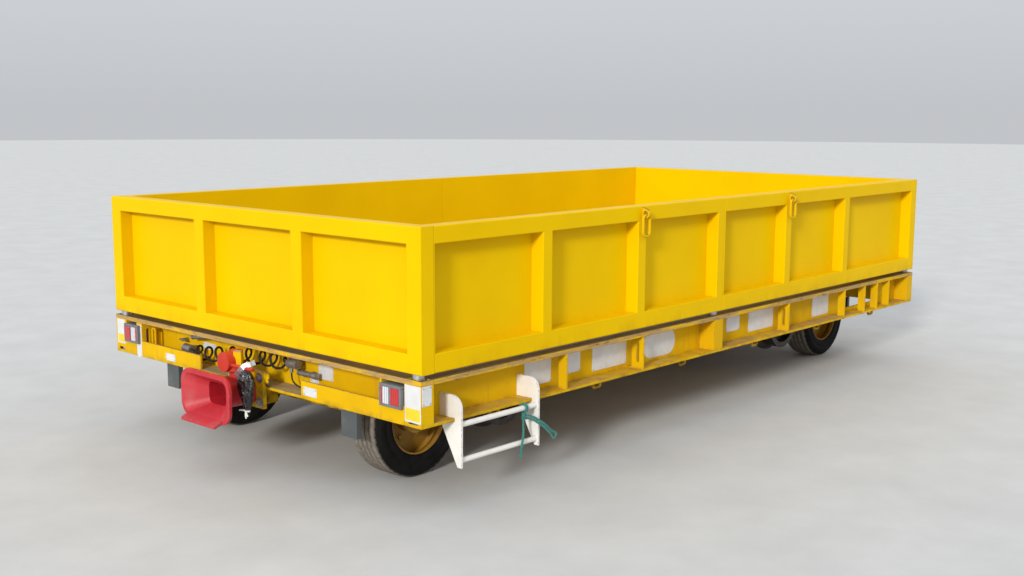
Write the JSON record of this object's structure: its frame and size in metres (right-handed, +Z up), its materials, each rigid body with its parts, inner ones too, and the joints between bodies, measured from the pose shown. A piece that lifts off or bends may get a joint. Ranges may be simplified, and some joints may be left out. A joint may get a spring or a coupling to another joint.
{
  "type": "rail platform trolley",
  "caption": "Flat road-rail trailer: yellow channel frame on rubber-tyred wheels with lowering rail axles, coupling funnels and a lift-out panelled load box.",
  "frame": {"origin": "on the ground under the middle of the platform", "axes": "+X towards the end with the coiled hose, +Y towards the side with the roped step, +Z up"},
  "size_m": [5.576, 2.6958, 1.3049],
  "materials": {
    "bag_black": "black plastic bag wrapped and taped",
    "board_yellow": "satin yellow paint on folded sheet",
    "coupling_red": "worn red paint",
    "dark_steel": "dark greasy steel",
    "deck_yellow": "worn yellow paint on steel plate",
    "fitting_grey": "dull grey fittings",
    "frame_yellow": "worn yellow paint, rusty along the edges",
    "galvanised": "galvanised",
    "guard_grey": "grey-blue paint",
    "hose_black": "black hose",
    "lamp_grey": "grey moulded plastic",
    "lens_clear": "clear lens",
    "lens_red": "red lens",
    "rope_green": "green twisted rope",
    "step_white": "white paint, chipped",
    "tyre_rubber": "black rubber"
  },
  "bodies": {
    "platform": {"air_taps": "fitting_grey", "coiled_hose": "hose_black", "corner_pockets": "frame_yellow", "coupling_bolts": "dark_steel", "coupling_funnels": "coupling_red", "coupling_housings": "coupling_red", "coupling_mounts": "frame_yellow", "cross_members": "frame_yellow", "deck_plate": "deck_yellow", "end_board_front": "board_yellow", "end_board_rear": "board_yellow", "guard_plates": "guard_grey", "headstock_front": "frame_yellow", "headstock_rear": "frame_yellow", "hose_fittings": "fitting_grey", "inner_longitudinals": "frame_yellow", "lamp_clear_lenses": "lens_clear", "lamp_housings": "lamp_grey", "lamp_lead": "hose_black", "lamp_red_lenses": "lens_red", "lashing_hooks": "frame_yellow", "lashing_plates": "frame_yellow", "lead_plug": "fitting_grey", "lifting_ears": "frame_yellow", "lifting_links": "frame_yellow", "mid_pockets": "frame_yellow", "rail_brackets": "frame_yellow", "road_axle_front": "frame_yellow", "road_axle_rear": "frame_yellow", "rope_bight": "rope_green", "rope_knot": "rope_green", "rope_tail": "rope_green", "side_beam_left": "frame_yellow", "side_beam_right": "frame_yellow", "side_board_left_front": "board_yellow", "side_board_left_rear": "board_yellow", "side_board_right_front": "board_yellow", "side_board_right_rear": "board_yellow", "side_ribs": "frame_yellow", "stake_pins": "galvanised", "step_left": "step_white", "step_right": "step_white", "web_grips": "frame_yellow", "wrapped_bundle": "bag_black"},
    "wheel_front_left": {"tyre_front_left": "tyre_rubber", "rim_front_left": "frame_yellow"},
    "wheel_front_right": {"tyre_front_right": "tyre_rubber", "rim_front_right": "frame_yellow"},
    "wheel_rear_left": {"tyre_rear_left": "tyre_rubber", "rim_rear_left": "frame_yellow"},
    "wheel_rear_right": {"tyre_rear_right": "tyre_rubber", "rim_rear_right": "frame_yellow"},
    "rail_frame_front": {"rail_frame_front": "frame_yellow"},
    "rail_axle_front": {"rail_axle_front": "dark_steel"},
    "rail_frame_rear": {"rail_frame_rear": "frame_yellow"},
    "rail_axle_rear": {"rail_axle_rear": "dark_steel"}
  },
  "joints": [
    {"name": "wheel_front_left_spin", "type": "hinge", "parent": "platform", "child": "wheel_front_left", "pos_m": [2.05, 0.72, 0.295], "axis": [0, 1, 0], "continuous": true},
    {"name": "wheel_front_right_spin", "type": "hinge", "parent": "platform", "child": "wheel_front_right", "pos_m": [2.05, -0.72, 0.295], "axis": [0, 1, 0], "continuous": true},
    {"name": "wheel_rear_left_spin", "type": "hinge", "parent": "platform", "child": "wheel_rear_left", "pos_m": [-2.05, 0.72, 0.295], "axis": [0, 1, 0], "continuous": true},
    {"name": "wheel_rear_right_spin", "type": "hinge", "parent": "platform", "child": "wheel_rear_right", "pos_m": [-2.05, -0.72, 0.295], "axis": [0, 1, 0], "continuous": true},
    {"name": "rail_front_swing", "type": "hinge", "parent": "platform", "child": "rail_frame_front", "pos_m": [0.95, 0, 0.345], "axis": [0, 1, 0], "range_deg": [0, 22]},
    {"name": "rail_front_spin", "type": "hinge", "parent": "rail_frame_front", "child": "rail_axle_front", "pos_m": [1.45, 0, 0.33], "axis": [0, 1, 0], "continuous": true},
    {"name": "rail_rear_swing", "type": "hinge", "parent": "platform", "child": "rail_frame_rear", "pos_m": [-0.95, 0, 0.345], "axis": [0, -1, 0], "range_deg": [0, 22]},
    {"name": "rail_rear_spin", "type": "hinge", "parent": "rail_frame_rear", "child": "rail_axle_rear", "pos_m": [-1.45, 0, 0.33], "axis": [0, 1, 0], "continuous": true}
  ]
}
